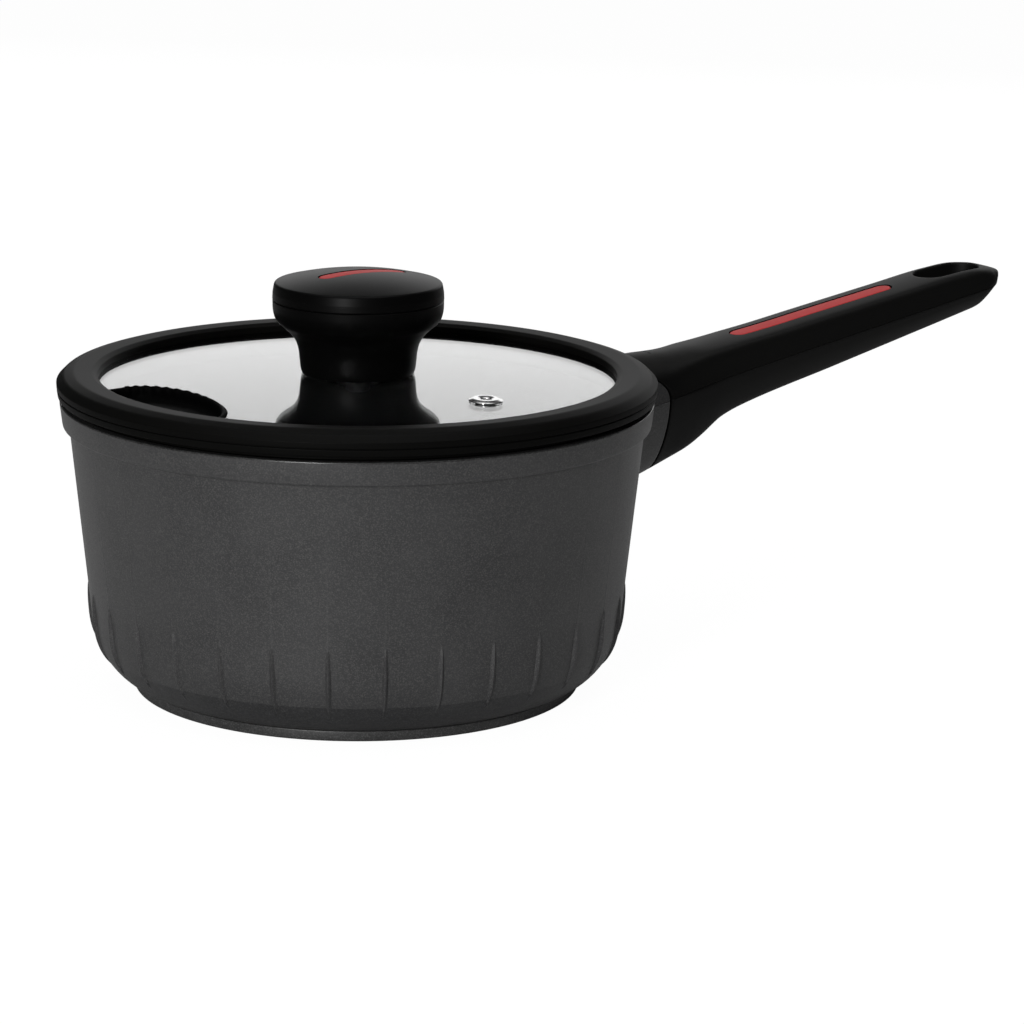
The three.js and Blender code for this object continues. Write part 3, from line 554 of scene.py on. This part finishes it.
def handleGrid(x, close=1.0, whole=False):
    # x holds a distance for every point of every station; the outline there is eight-cornered
    # with an arched top and corners rounded by a moving average, blended into a superellipse
    # under the lug and at the nose; a fine groove follows the parting line
    top, under, part, wide = handleHeights(x)
    wide = wide * close
    share = (x - handle["lugEnd"]) / handle["length"]
    angle = outlineAngles()
    c, s = np.cos(angle), np.sin(angle)
    power = 2 / np.where(s > 0, nosePower, smoothCurve(underPower, share))
    roundY = wide * np.sign(c) * np.abs(c) ** power
    roundZ = part + np.where(s > 0, top - part, under - part) * np.abs(s) ** power
    edgeY, lowY = handle["topEdge"] * wide, 0.6 * wide
    crown = smoothCurve(crownPairs, share) * close
    edgeZ = top - crown
    lowZ = under + 0.08 * (part - under)
    cornersY = [0 * x, edgeY, wide, lowY, 0 * x, -lowY, -wide, -edgeY, 0 * x]
    cornersZ = [top, edgeZ, part, lowZ, under, lowZ, part, edgeZ, top]
    spots = np.cumsum(np.concatenate([[0], stretch]))
    rawY, rawZ = np.empty_like(x), np.empty_like(x)
    for i, count in enumerate(stretch):
        span = slice(spots[i], spots[i + 1])
        t = np.arange(count) / count
        # the lower sides bow: they leave the parting line upright and turn in as they fall
        mix = {2: t ** 1.7, 5: 1 - (1 - t) ** 1.7}.get(i, t)
        rawY[:, span] = cornersY[i][:, span] * (1 - mix) + cornersY[i + 1][:, span] * mix
        if i in (0, 7):
            out = t if i == 0 else 1 - t
            rawZ[:, span] = top[:, span] - crown[:, span] * out ** 2
        else:
            rawZ[:, span] = cornersZ[i][:, span] * (1 - t) + cornersZ[i + 1][:, span] * t
    softY, softZ = rawY, rawZ
    for spread in (6, 5, 4):
        shifts = range(-spread, spread + 1)
        softY = sum(np.roll(softY, k, axis=1) for k in shifts) / (2 * spread + 1)
        softZ = sum(np.roll(softZ, k, axis=1) for k in shifts) / (2 * spread + 1)
    place = np.arange(x.shape[1])
    fromPart = np.minimum(np.abs(place - spots[2]), np.abs(place - spots[6]))
    keep = 1 - smoothStep(3, 9, fromPart)
    softY, softZ = softY * (1 - keep) + rawY * keep, softZ * (1 - keep) + rawZ * keep
    boxy = np.where(s > 0, 1, smoothStep(0.0, 0.13, share)) * (1 - smoothStep(0.9, 0.985, share))
    y = roundY + (softY - roundY) * boxy
    z = roundZ + (softZ - roundZ) * boxy
    groove = handle["seam"] * (fromPart < 0.5) * smoothStep(1.0, 0.985, share)
    y = y - np.sign(y) * groove
    keepEvery = (place % 2 == 0) | (fromPart < 4) | whole
    return np.stack([x, y, z], -1)[:, keepEvery]


def startEdge():
    # how far the seam between lug and grip reaches back toward the pan at each point of the
    # outline: nothing at the sides and underneath, a long tongue on top
    angle = outlineAngles()
    across = np.abs(np.cos(angle)) ** 1.11
    return np.where(np.sin(angle) > 0, handle["tongue"] * (1 - across ** 2) ** 1.5, 0)


def closeEnds(grid):
    # a point at the middle of the first and of the last outline closes the ends
    first = np.broadcast_to(grid[:1].mean(1, keepdims=True), grid[:1].shape)
    last = np.broadcast_to(grid[-1:].mean(1, keepdims=True), grid[-1:].shape)
    return np.concatenate([first, grid, last])


def shrinkRows(grid, factors):
    # each outline drawn in toward its own middle, across the handle only
    centre = grid.mean(1, keepdims=True)
    scale = np.ones((len(grid), 1, 3))
    scale[:, 0, 1:] = factors[:, None]
    return centre + (grid - centre) * scale


def makeLug():
    # stations run from just under the wall's round outer face to the seam, and the last of them
    # round its edge; the root's distance is the square root of radius squared less y squared
    turn = np.linspace(0, math.pi / 2, 5)
    start = handleGrid(np.full((1, stretch.sum()), 101.0), whole=True)[0]
    radius = pan["wallTop"] - 0.8 - np.maximum(pan["bandLow"] - start[:, 2], 0) * pan["draft"]
    root = np.sqrt(radius ** 2 - start[:, 1] ** 2)
    t = np.linspace(0, 1, 44)
    end = handle["lugEnd"] - 0.1 - startEdge()
    x = root + t[:, None] * (end - 0.5 - root)
    x = np.concatenate([x, end - 0.5 + 0.5 * np.sin(turn[1:, None])])
    factor = np.concatenate([np.ones(len(t)), 1 - 0.035 * (1 - np.cos(turn[1:]))])
    grid = shrinkRows(handleGrid(x), factor)
    return surface("pan_lug", [(closeEnds(grid), False, True)], "pan", ["pan_body"], 35, coat)


def plateau(x, y):
    # height of the handle's top face away from its rounded edges
    top, _, _, wide = handleHeights(x)
    crown = smoothCurve(crownPairs, (x - handle["lugEnd"]) / handle["length"])
    return top - crown * (y / (handle["topEdge"] * wide)) ** 2


def slotOutline(centre, length, width, count=96):
    # stadium: two half circles joined by straight sides, walked at even steps
    reach = (length - width) / 2
    t = np.linspace(0, 2 * math.pi, count, endpoint=False)
    x = width / 2 * np.cos(t) + reach * np.clip(np.cos(t) * 6, -1, 1)
    y = width / 2 * np.sin(t)
    return x + centre, y, np.stack([np.cos(t), np.sin(t)], -1)


hangHole = dict(centre=269.8, length=28.6, width=15.0, flare=1.3)
strip = dict(start=166.0, end=241.4, width=8.2, slotDeep=1.1, gap=0.4, sunk=0.15)


def makeHoleCutter():
    # the outline drawn out along its normals where it nears the top
    x, y, normal = slotOutline(hangHole["centre"], hangHole["length"], hangHole["width"])
    flare = hangHole["flare"]
    angle = np.linspace(0, math.pi / 2 * 0.92, 9)
    out = flare * (1 - np.cos(angle))
    rise = flare * np.sin(angle) - flare * math.sin(angle[-1])
    topRows = []
    for o, h in zip(out, rise):
        px, py = x + normal[:, 0] * o, y + normal[:, 1] * o
        topRows.append(np.stack([px, py, plateau(px, py) + h + 0.12], -1))
    lift = topRows[-1].copy()
    lift[:, 2] += 12
    lift[:, :2] += normal * 6
    low = topRows[0].copy()
    low[:, 2] = 90
    grid = np.stack([low] + topRows + [lift])
    return surface("hole_cutter", [(closeEnds(grid), False, True)], None)


def makeSlotCutter(width, start, end, deep):
    # a stadium floor that follows the crowned top, with straight sides going up
    x, y, _ = slotOutline((start + end) / 2, end - start, width, 120)
    floorRow = np.stack([x, y, plateau(x, y) - deep], -1)
    centreX = np.clip(x, start + width / 2, end - width / 2)
    spine = np.stack([centreX, 0 * y, plateau(centreX, 0 * y) - deep], -1)
    rows = [spine * (1 - k) + floorRow * k for k in np.linspace(0, 1, 24)]
    upper = floorRow.copy()
    upper[:, 2] += deep + 8
    cap = spine.copy()
    cap[:, 2] += deep + 8
    grid = np.stack(rows + [upper, cap])
    return surface("slot_cutter", [(grid, False, True)], None)


def makeGrip():
    # stations from the rounded edge at the seam to the nose; the nose narrows almost as an
    # ellipse does, by the square root of one less u to a power
    ease = np.linspace(0, math.pi / 2, 5)[:-1]
    lead = np.sin(ease)
    begin = handle["lugEnd"] + 0.45 - startEdge()
    tipStart = tipX - handle["halfWidth"]
    t = np.linspace(0, 1, 120)[:, None]
    body = begin + 0.5 + t * (tipStart - begin - 0.5)
    u = np.sin(np.linspace(0, math.pi / 2, 36)[1:])
    nose = np.broadcast_to((tipStart + (tipX - tipStart) * u)[:, None], (len(u), body.shape[1]))
    x = np.concatenate([begin + 0.5 * (1 - np.cos(ease[:, None])), body, nose])
    close = np.concatenate([np.ones(len(lead) + len(body)), np.clip(1 - u ** 2.05, 0.004, 1) ** 0.5])
    grid = handleGrid(x, close[:, None])
    factor = np.ones(len(grid))
    factor[:len(lead)] = 1 - 0.035 * (1 - lead)
    grid = shrinkRows(grid, factor)
    shells = ["handle_upper_shell", "handle_lower_shell"]
    grip = surface("handle_grip", [(closeEnds(grid), False, True)], "pan", shells, 35, gripPlastic)
    cutAway(grip, makeHoleCutter())
    grow = strip["gap"]
    start, end = strip["start"] - grow, strip["end"] + grow
    cutAway(grip, makeSlotCutter(strip["width"] + 2 * grow, start, end, strip["slotDeep"]))
    return grip


def padRows(x, y, spineX, spineY, topOf, proud, deep, edge=0.8, steps=7):
    # from the spine out to the outline, level, then rounded over the edge and down
    rows = []
    half = np.hypot(x - spineX, y - spineY).max()
    for k in np.linspace(0, 1, 8):
        across = k * (half - edge) / half
        px, py = spineX + (x - spineX) * across, spineY + (y - spineY) * across
        rows.append(np.stack([px, py, topOf(px, py) + proud], -1))
    for a in np.linspace(0, math.pi / 2, steps)[1:]:
        k = (half - edge + edge * math.sin(a)) / half
        px, py = spineX + (x - spineX) * k, spineY + (y - spineY) * k
        rows.append(np.stack([px, py, topOf(px, py) + proud - edge * 0.6 * (1 - math.cos(a))], -1))
    bottom = rows[-1].copy()
    bottom[:, 2] -= deep
    centre = np.stack([spineX, spineY + 0 * x, bottom[:, 2]], -1)
    return np.stack(rows + [bottom, centre])


def makeHandleStrip():
    # a stadium pad that follows the crowned top, just below it
    width, start, end = strip["width"], strip["start"], strip["end"]
    x, y, _ = slotOutline((start + end) / 2, end - start, width, 160)
    spineX = np.clip(x, start + width / 2, end - width / 2)
    grid = padRows(x, y, spineX, 0 * y, plateau, -strip["sunk"], 0.25)
    return surface("handle_strip", [(grid, False, True)], "pan", ["handle_inlay"], 50, redStrip)


makeLug()
makeGrip()
makeHandleStrip()
print("handle ready")


lid = dict(
    glassTop=115.2, dome=0.000252, thick=4.0, glassEdge=104.0, holeRadius=4.5, ringOut=109.0, ringIn=94.4,
)
guard = dict(x=-84.0, y=-10.0, depth=17.4, halfLength=33.0, back=17.0, reach=103.4, gap=0.3)


def glassHeight(r):
    # the dome falls with the square of the radius
    return lid["glassTop"] - lid["dome"] * r ** 2


def guardOutline(inset, count=320):
    # half an ellipse toward the lid's middle, square-shouldered toward its edge
    t = np.linspace(-math.pi, math.pi, count, endpoint=False)
    c, s = np.cos(t), np.sin(t)
    front = c >= 0
    depth, half = guard["depth"] - inset, guard["halfLength"] - inset
    x = guard["x"] + np.where(front, depth * c, -(guard["back"] - inset) * np.abs(c) ** 0.25)
    y = guard["y"] + half * np.sign(s) * np.where(front, np.abs(s), np.abs(s) ** 0.25)
    shrink = np.minimum(1, (guard["reach"] - inset) / np.hypot(x, y))
    return x * shrink, y * shrink, t


def makeGlass():
    # a domed plate turned about the axis, and the pour guard's opening cut out of it
    radius = np.linspace(lid["holeRadius"], lid["glassEdge"], 30)
    top = np.stack([radius, glassHeight(radius)], -1)
    rimX, rimZ = lid["glassEdge"] + 0.2, top[-1, 1]
    edge = np.array([[rimX, rimZ - 0.5], [rimX, rimZ - lid["thick"] + 0.5]])
    profile = np.concatenate([top, edge, top[::-1] - [0, lid["thick"]]])
    grid = turned(profile, 288)
    pane = surface("lid_pane", [(grid, True, True)], "lid", ["lid_glass"], 30, clearGlass)
    x, y, _ = guardOutline(-guard["gap"], 200)
    away = np.where(x < guard["x"], 1.3, 1.0)
    low = np.stack([x * away, y, 0 * x + 90], -1)
    high = np.stack([x * away, y, 0 * x + 130], -1)
    cutter = surface("guard_cutter", [(closeEnds(np.stack([low, high])), False, True)], None)
    cutAway(pane, cutter)
    return pane


def makeRing():
    # lathe of the ring's section: rolled top, groove on its side, step over the rim, and skirt
    inner, side = lid["ringIn"] - 0.4, lid["ringOut"]
    profile = filletPath([
        (inner, 112.9, 0), (104.3, 112.7, 0.3), (104.3, 108.2, 0.3), (97.4, 108.0, 0.5), (97.4, 100, 0.8),
        (100.3, 100, 1.0), (101.2, 106.3, 0.4), (105.4, 106.3, 0.4), (105.4, 107.9, 0.4),
        (side - 0.5, 107.9, 0.6),
        (side - 0.15, 110.3, 0.25), (side - 0.7, 110.6, 0.15), (side - 0.1, 110.9, 0.25), (side, 112.9, 0.45),
        (106.6, 115.3, 3.2), (102.6, 116.5, 4.5), (96, 116.25, 2.2), (inner, 115.2, 0.7), (inner, 112.9, 0),
    ], 6)
    grid = turned(densify(profile, 3), 288)
    return surface("lid_rim", [(grid, True, True)], "lid", ["lid_ring"], 40, ringSilicone)


def makeStrainer():
    # sunk floor, a wall that rises in small scallops, a rolled lip and a flat underside, each
    # given as an inset from the outline and a height above the glass
    steps = [
        (2.9, -3.3), (2.5, -3.1), (2.3, -2.2), (2.2, -1.0), (2.1, 0.1), (1.8, 0.6), (1.3, 0.85), (0.8, 0.8),
        (0.35, 0.5), (0.05, 0.1), (0.0, -0.4), (0.0, -4.0),
    ]
    rows = []
    for inset, height in steps:
        x, y, t = guardOutline(inset)
        far = smoothStep(-20, 0, y)
        ripple = (0.5 + 0.5 * np.cos(t * 34)) * far
        upper = math.exp(-((inset - 2.1) / 0.9) ** 2) * (height > -2)
        x, y = x - 0.5 * upper * ripple * np.cos(t), y - 0.5 * upper * ripple * np.sin(t)
        lift = height + 0.45 * (ripple - 0.5 * far) * math.exp(-((inset - 1.2) / 1.1) ** 2) * (height > -1)
        rows.append(np.stack([x, y, glassHeight(np.hypot(x, y)) + lift], -1))
    middle = rows[0].mean(0)
    floor = [middle + (rows[0] - middle) * k for k in (0, 0.3, 0.6, 0.85)]
    under = [middle + (rows[-1] - middle) * k for k in (0.6, 0)]
    for row in floor:
        row[:, 2] = glassHeight(np.hypot(row[:, 0], row[:, 1])) - 3.3
    for row in under:
        row[:, 2] = glassHeight(np.hypot(row[:, 0], row[:, 1])) - 4.0
    grids = [(np.stack(floor + rows + under), False, True)]
    # the guard takes the darker silicone copy, painted shade for its recess
    return surface("lid_pour_guard", grids, "lid", ["lid_strainer"], 50, shadedGuardSilicone)


vent = dict(azimuth=-75, radius=63.7)


def ventTurn(grid):
    # stands a turned piece on the dome, square to the glass
    azimuth, radius = math.radians(vent["azimuth"]), vent["radius"]
    tilt = math.atan(2 * lid["dome"] * radius)
    ct, st = math.cos(tilt), math.sin(tilt)
    x, y, z = grid[..., 0] * ct + grid[..., 2] * st, grid[..., 1], -grid[..., 0] * st + grid[..., 2] * ct
    ca, sa = math.cos(azimuth), math.sin(azimuth)
    out = np.stack([x * ca - y * sa, x * sa + y * ca, z], -1)
    return out + [radius * ca, radius * sa, glassHeight(radius)]


def makeVent():
    # lathes of the flanged eyelet and of the collar below the glass
    profile = filletPath([
        (1.9, -5.6, 0), (3.6, -5.6, 0.2), (3.6, 0.2, 0.1), (6.15, 0.2, 0.15), (6.1, 0.6, 0.3),
        (4.6, 1.2, 0.9),
        (3.3, 1.25, 0.5), (1.9, 0.7, 0.5), (1.9, -5.6, 0),
    ], 6)
    grid = ventTurn(turned(profile, 64))
    eyelet = surface("vent_ring", [(grid, True, True)], "lid", ["vent_eyelet"], 45, polished)
    under = filletPath([
        (3.9, -5.5, 0), (5.4, -5.5, 0.3), (5.4, -4.3, 0.3), (3.9, -4.3, 0), (3.9, -5.5, 0),
    ], 4)
    grid = ventTurn(turned(under, 64))
    surface("vent_washer", [(grid, True, True)], "lid", ["vent_collar"], 40, polished)
    return eyelet


makeGlass()
makeRing()
makeStrainer()
makeVent()
print("lid ready")


knob = dict(head=31.0, seam=142.2, crown=148.2, top=152.4)
knobSides = [
    (115.55, 20.35), (117, 20.85), (119, 21.1), (123, 21.5), (126, 22.2), (128.8, 23.6), (131.8, 26.4),
    (134, 29.0), (136.2, 30.4), (139.5, 31.0), (141.9, 31.05),
]
knobStrip = dict(centre=1.6, length=35.0, width=6.6, gap=0.35, slotDeep=1.0, sunk=0.12)


def capHeight(x, y):
    # the cap's dome falls with the square of the radius
    r = np.hypot(x, y)
    return knob["top"] - (knob["top"] - knob["crown"]) * (r / knob["head"]) ** 2


def makeKnob():
    # lathes of the knob below and above its seam; a slot that follows the dome holds the red strip
    height = np.linspace(knobSides[0][0], knobSides[-1][0], 44)
    side = np.stack([smoothCurve(knobSides, height), height], -1)
    inside = filletPath([
        (0, 138, 0), (5.4, 138, 0.2), (5.4, 116.7, 0.3), (19.9, 116.7, 0.2), (19.9, 115.55, 0.1),
        (20.2, 115.5, 0),
    ], 4)
    seam, chamfer = knob["seam"], knob["head"] - 0.25
    profile = np.concatenate([densify(inside, 3), side, [[chamfer, seam], [0, seam]]])
    grid = turned(profile, 200)
    body = surface("knob_lower", [(grid, False, True)], "lid", ["knob_body"], 35, knobPlastic)
    upper = [
        (0, seam + 0.1, 0), (chamfer, seam + 0.1, 0.1), (31.1, 142.55, 0.25), (31.0, 145.0, 1.5),
        (30.4, 148.4, 1.3),
        (27.6, capHeight(27.6, 0), 0),
    ]
    dome = np.linspace(27.0, 0, 26)
    profile = np.concatenate([densify(filletPath(upper, 8), 3), np.stack([dome, capHeight(dome, 0)], -1)])
    grid = turned(profile, 200)
    cap = surface("knob_top", [(grid, False, True)], "lid", ["knob_cap"], 35, knobPlastic)
    width, length = knobStrip["width"], knobStrip["length"]
    centre, grow, deep = knobStrip["centre"], knobStrip["gap"], knobStrip["slotDeep"]
    reach = (length - width) / 2
    x, y, _ = slotOutline(centre, length + 2 * grow, width + 2 * grow, 140)
    spine = np.clip(x, centre - reach, centre + reach)
    rows = []
    for k in np.linspace(0, 1, 10):
        px, py = spine + (x - spine) * k, y * k
        rows.append(np.stack([px, py, capHeight(px, py) - deep], -1))
    above = rows[-1] + [0, 0, 8]
    crest = np.stack([spine, 0 * y, above[:, 2]], -1)
    cutter = surface("knob_cutter", [(np.stack(rows + [above, crest]), False, True)], None)
    cutAway(cap, cutter)
    x, y, _ = slotOutline(centre, length, width, 140)
    spine = np.clip(x, centre - reach, centre + reach)
    grid = padRows(x, y, spine, 0 * y, capHeight, -knobStrip["sunk"], 0.2)
    surface("knob_strip", [(grid, False, True)], "lid", ["knob_inlay"], 50, redStrip)
    return body


makeKnob()
# hidden fixings keep their own shapes and take these finishes
for name, finish in dict(
    handle_gasket=ringSilicone, handle_tang=zinc, tang_bolt=zinc, shell_screw_1=zinc, shell_screw_2=zinc,
    shell_screw_3=zinc, lid_gasket=ringSilicone, knob_gasket=ringSilicone, knob_insert=zinc, knob_screw=zinc,
    knob_washer=zinc,
).items():
    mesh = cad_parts[name].data
    mesh.materials.clear()
    mesh.materials.append(finish)
print("knob and fixings ready")


studio = dict(
    place=(-0.6992, -1.2111, 0.3996), forward=(0.5198, 0.8217, -0.2337), roll=0.75, lens=137.94,
    back=6.6, top=18.0, key=16.0,
)


def makeCamera():
    data = bpy.data.cameras.new("camera")
    data.lens, data.sensor_width = studio["lens"], 36
    data.clip_end = 100
    camera = bpy.data.objects.new("camera", data)
    collection.objects.link(camera)
    forward = Vector(studio["forward"]).normalized()
    turn = forward.to_track_quat("-Z", "Y") @ Quaternion((0, 0, 1), math.radians(studio["roll"]))
    camera.rotation_mode = "QUATERNION"
    camera.location, camera.rotation_quaternion = studio["place"], turn
    bpy.context.scene.camera = camera


def softLight(name, azimuth, distance, height, width, tall, power, aim=(0.04, 0, 0.06)):
    # azimuth in degrees from the -Y side toward +X; sizes and distance in metres, power in watts
    data = bpy.data.lights.new(name, "AREA")
    data.shape, data.size, data.size_y = "RECTANGLE", width, tall
    data.energy = power
    light = bpy.data.objects.new(name, data)
    collection.objects.link(light)
    angle = math.radians(azimuth)
    light.location = (math.sin(angle) * distance, -math.cos(angle) * distance, height)
    light.rotation_mode = "QUATERNION"
    light.rotation_quaternion = (Vector(aim) - light.location).to_track_quat("-Z", "Y")
    return light


def makeFloor():
    # wide pale sheet; it looks evenly white to the camera and lights the object gently from below
    mesh = bpy.data.meshes.new("floor")
    wide = 40
    corners = [(-wide, -wide, 0), (wide, -wide, 0), (wide, wide, 0), (-wide, wide, 0)]
    mesh.from_pydata(corners, [], [(0, 1, 2, 3)])
    floor = bpy.data.objects.new("floor", mesh)
    floor.location.z = -0.0002
    collection.objects.link(floor)
    material, tree, shader, _ = startMaterial("paleFloor", 0.9, 0.0, 0.1)
    shader.inputs["Base Color"].default_value = (0.6, 0.6, 0.6, 1)
    glow = addNode(tree, "ShaderNodeEmission")
    glow.inputs["Color"].default_value = (1, 1, 1, 1)
    glow.inputs["Strength"].default_value = 0.975
    faint = addNode(tree, "ShaderNodeBsdfDiffuse")
    faint.inputs["Color"].default_value = (0.05, 0.05, 0.05, 1)
    seen = addNode(tree, "ShaderNodeLightPath")
    both = addNode(tree, "ShaderNodeAddShader")
    choose = addNode(tree, "ShaderNodeMixShader")
    tree.links.new(faint.outputs[0], both.inputs[0])
    tree.links.new(glow.outputs[0], both.inputs[1])
    tree.links.new(seen.outputs["Is Camera Ray"], choose.inputs[0])
    tree.links.new(shader.outputs[0], choose.inputs[1])
    tree.links.new(both.outputs[0], choose.inputs[2])
    out = next(n for n in tree.nodes if n.type == "OUTPUT_MATERIAL")
    tree.links.new(choose.outputs[0], out.inputs["Surface"])
    mesh.materials.append(material)


def makeWorld():
    world = bpy.data.worlds.new("studio")
    bpy.context.scene.world = world
    world.use_nodes = True
    tree = world.node_tree
    tree.nodes.clear()
    out = addNode(tree, "ShaderNodeOutputWorld", 400)
    dim = addNode(tree, "ShaderNodeBackground")
    dim.inputs["Color"].default_value = (1, 1, 1, 1)
    dim.inputs["Strength"].default_value = 0.07
    pale = addNode(tree, "ShaderNodeBackground")
    pale.inputs["Color"].default_value = (1, 1, 1, 1)
    pale.inputs["Strength"].default_value = 1.0
    seen = addNode(tree, "ShaderNodeLightPath")
    choose = addNode(tree, "ShaderNodeMixShader", 200)
    tree.links.new(seen.outputs["Is Camera Ray"], choose.inputs[0])
    tree.links.new(dim.outputs[0], choose.inputs[1])
    tree.links.new(pale.outputs[0], choose.inputs[2])
    tree.links.new(choose.outputs[0], out.inputs["Surface"])


makeCamera()
makeFloor()
makeWorld()
softLight("back_card", 135, 1.7, 0.62, 2.0, 0.85, studio["back"])
softLight("top_box", -30, 0.15, 1.7, 1.7, 1.7, studio["top"])
softLight("key_box", -50, 1.5, 0.46, 0.2, 0.6, studio["key"], (0.04, 0, 0.2))
bpy.context.scene.view_settings.view_transform = "Standard"
bpy.context.scene.view_settings.look = "None"
print("studio ready")
